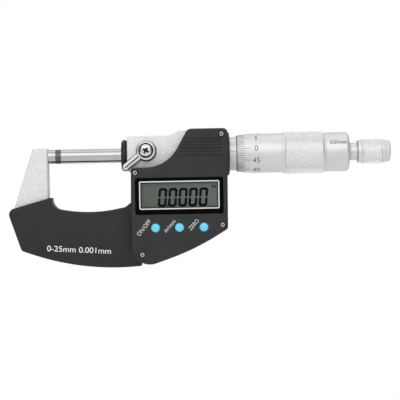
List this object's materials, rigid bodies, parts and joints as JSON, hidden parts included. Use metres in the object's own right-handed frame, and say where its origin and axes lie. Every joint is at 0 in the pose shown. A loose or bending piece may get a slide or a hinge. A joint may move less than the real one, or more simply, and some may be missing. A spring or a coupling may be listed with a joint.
{
  "type": "outside micrometer",
  "caption": "Digital outside micrometer: C-frame with gripped bow, closed measuring faces, spindle lock, display housing, graduated knurled thimble and ratchet stop.",
  "frame": {"origin": "middle of the bow between the two grip shells, under the middle of the 25 mm measuring range, 37.5 mm below the spindle axis", "axes": "+X along the spindle from the anvil to the ratchet, -Y out of the display, +Z from the bow up to the spindle"},
  "size_m": [0.1728, 0.0265, 0.0617],
  "materials": {
    "cast_paint": "silver hammered enamel",
    "steel": "ground and lapped",
    "satin_chrome": "satin",
    "bright_chrome": "polished",
    "carbide": "lapped tungsten carbide",
    "brass": "machined",
    "dark_plastic": "fine grained, satin",
    "gloss_black": "gloss",
    "black_rubber": "matte",
    "white_print": "printed",
    "lcd": "reflective liquid crystal",
    "blue_plastic": "satin",
    "board": "solder mask",
    "chip": "matte",
    "copper": "copper foil on film"
  },
  "bodies": {
    "frame_body": {"frame": "cast_paint", "anvil": "steel", "anvil_tip": "carbide", "grip_front": "dark_plastic", "grip_back": "dark_plastic", "seal_collar": "gloss_black", "spindle_wiper": "black_rubber", "front_bush": "brass", "rear_bush": "brass", "lock_shoe": "brass", "inner_barrel": "steel", "sleeve": "satin_chrome", "adjusting_nut": "steel", "end_collar": "dark_plastic", "housing_front": "dark_plastic", "housing_back": "dark_plastic", "cover_screw_1": "satin_chrome", "cover_screw_2": "satin_chrome", "cover_screw_3": "satin_chrome", "cover_screw_4": "satin_chrome", "display_window": "gloss_black", "display_bezel": "white_print", "lcd_panel": "lcd", "lcd_connector": "black_rubber", "main_board": "board", "controller_chip": "chip", "dome_switch_1": "steel", "dome_switch_2": "steel", "dome_switch_3": "steel", "battery": "steel", "battery_contact_negative": "brass", "battery_contact_positive": "brass", "encoder_stator": "board", "encoder_flex": "copper", "rotor_preload_spring": "steel"},
    "encoder_rotor": {"rotor_disc": "board", "rotor_bush": "brass", "rotor_key": "steel"},
    "spindle_body": {"spindle": "steel", "spindle_tip": "carbide", "thimble": "satin_chrome", "ratchet_shaft": "satin_chrome", "ratchet_end_screw": "steel"},
    "ratchet": {"ratchet_knob": "satin_chrome", "ratchet_spring": "steel"},
    "clutch": {"ratchet_clutch": "steel"},
    "lock": {"lock_lever": "bright_chrome", "lock_screw": "bright_chrome", "lock_stud": "steel"},
    "power_button": {"button_power": "blue_plastic"},
    "unit_button": {"button_unit": "blue_plastic"},
    "zero_button": {"button_zero": "blue_plastic"},
    "cap_seal": {"battery_cap_seal": "black_rubber"},
    "cap": {"battery_cap": "dark_plastic"}
  },
  "joints": [
    {"name": "thimble_turn", "type": "hinge", "parent": "frame_body", "child": "encoder_rotor", "pos_m": [0.0499, 0, 0.0375], "axis": [1, 0, 0], "range_deg": [0, 18000.01]},
    {"name": "spindle_feed", "type": "slide", "parent": "encoder_rotor", "child": "spindle_body", "axis": [1, 0, 0], "range_m": [0, 0.025]},
    {"name": "ratchet_turn", "type": "hinge", "parent": "spindle_body", "child": "ratchet", "pos_m": [0.1235, 0, 0.0375], "axis": [1, 0, 0], "continuous": true},
    {"name": "clutch_slide", "type": "slide", "parent": "ratchet", "child": "clutch", "axis": [1, 0, 0], "range_m": [0, 0.0004], "stiffness_N_per_m": 500, "springref_m": -0.001, "deforming": ["ratchet_spring"]},
    {"name": "lock_turn", "type": "hinge", "parent": "frame_body", "child": "lock", "pos_m": [0.0275, -0.009, 0.0393], "axis": [0, 1, 0], "range_deg": [0, 75]},
    {"name": "power_press", "type": "slide", "parent": "frame_body", "child": "power_button", "axis": [0, 1, 0], "range_m": [0, 0.0006], "stiffness_N_per_m": 1000, "springref_m": -0.0003},
    {"name": "unit_press", "type": "slide", "parent": "frame_body", "child": "unit_button", "axis": [0, 1, 0], "range_m": [0, 0.0006], "stiffness_N_per_m": 1000, "springref_m": -0.0003},
    {"name": "zero_press", "type": "slide", "parent": "frame_body", "child": "zero_button", "axis": [0, 1, 0], "range_m": [0, 0.0006], "stiffness_N_per_m": 1000, "springref_m": -0.0003},
    {"name": "cap_lift", "type": "slide", "parent": "frame_body", "child": "cap_seal", "axis": [0, 1, 0], "range_m": [0, 0.0015]},
    {"name": "cap_turn", "type": "hinge", "parent": "cap_seal", "child": "cap", "pos_m": [0.0375, 0.012, 0.0065], "axis": [0, 1, 0], "range_deg": [0, 720.01]}
  ],
  "couplings": [
    {"joint": "thimble_turn", "follows": "spindle_feed", "rad_per_m": 12566},
    {"joint": "cap_turn", "follows": "cap_lift", "rad_per_m": 8377.6}
  ]
}
